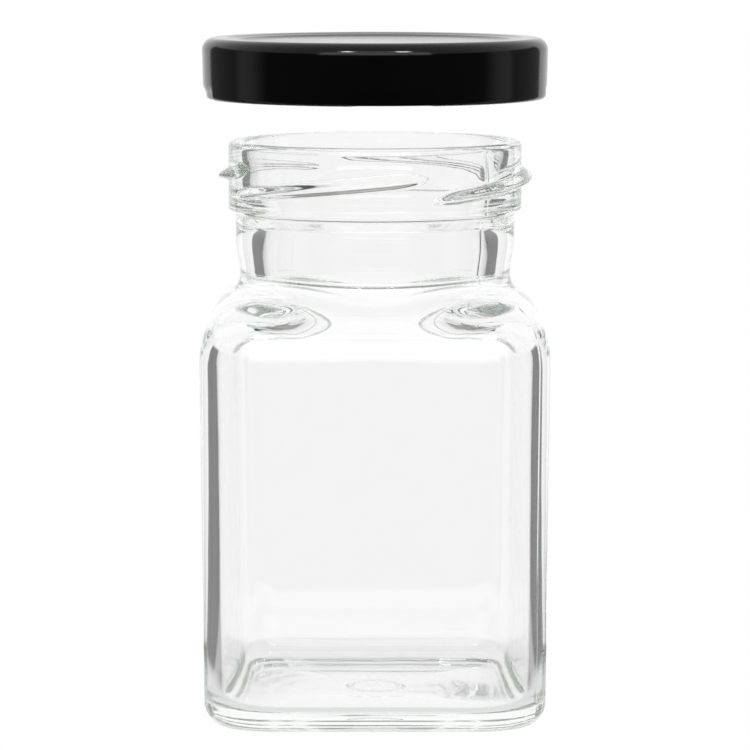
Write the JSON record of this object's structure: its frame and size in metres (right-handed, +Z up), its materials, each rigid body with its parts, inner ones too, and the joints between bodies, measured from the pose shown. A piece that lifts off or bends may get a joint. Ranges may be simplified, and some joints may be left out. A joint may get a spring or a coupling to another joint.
{
  "type": "square glass jar with twist-off lid",
  "caption": "Square clear-glass jar with rounded shoulders and a round threaded neck, and a black lacquered twist-off lid with lugs and a sealing ring.",
  "frame": {"origin": "on the jar's axis, in the plane the jar stands on", "axes": "+Z up along the jar's axis, flat front face towards -Y"},
  "size_m": [0.0514, 0.0514, 0.1002],
  "materials": {
    "clear_glass": "clear flint glass, fire-polished, faintly grey-green in thick places",
    "black_lacquer": "high-gloss black lacquer on tinplate outside, pale lacquer inside",
    "seal_compound": "smooth satin off-white plastisol"
  },
  "bodies": {
    "jar": {"glass_jar": "clear_glass"},
    "seal": {"sealing_ring": "seal_compound"},
    "lid": {"lid_shell": "black_lacquer"}
  },
  "joints": [
    {"name": "lid_rise", "type": "slide", "parent": "jar", "child": "seal", "axis": [0, 0, 1], "range_m": [-0.0142, 0]},
    {"name": "lid_twist", "type": "hinge", "parent": "seal", "child": "lid", "pos_m": [0, 0, 0.09122], "axis": [0, 0, 1], "range_deg": [-375.5, 0]}
  ],
  "couplings": [
    {"joint": "lid_rise", "follows": "lid_twist", "m_per_rad": 0.0021645}
  ]
}
